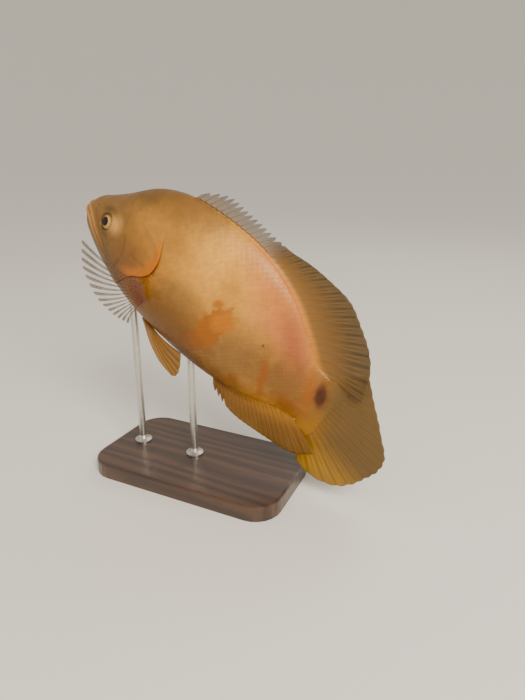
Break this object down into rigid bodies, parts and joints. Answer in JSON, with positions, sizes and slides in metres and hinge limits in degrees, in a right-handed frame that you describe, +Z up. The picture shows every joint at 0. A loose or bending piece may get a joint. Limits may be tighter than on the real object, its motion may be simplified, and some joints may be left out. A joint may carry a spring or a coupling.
{
  "type": "oscar fish model on a display stand",
  "caption": "Life-size still model of a pale oscar fish, hovering head-up with spread fins, on a flat base with two rods.",
  "frame": {"origin": "middle of the underside of the stand's base", "axes": "+Z up, the fish's head towards -X and its left side towards -Y"},
  "size_m": [0.2371, 0.113, 0.2173],
  "materials": {
    "skin": "cast resin painted golden cream with orange markings, under a thin wet-looking varnish",
    "fin": "thin milky membrane over fine rays, golden to grey-tan",
    "eye": "polished clear cornea over a cream iris and a maroon pupil",
    "stand_base": "dark stained hardwood, satin",
    "stand_rod": "turned steel, brushed"
  },
  "bodies": {
    "root": {"head": "skin", "trunk": "skin", "tail_stalk": "skin", "eye_left": "eye", "eye_right": "eye", "dorsal_fin": "fin", "anal_fin": "fin", "caudal_fin": "fin", "pectoral_fin_left": "fin", "pectoral_fin_right": "fin", "pelvic_fin_left": "fin", "pelvic_fin_right": "fin", "stand_base": "stand_base", "stand_rod_front": "stand_rod", "stand_rod_rear": "stand_rod"}
  },
  "joints": []
}
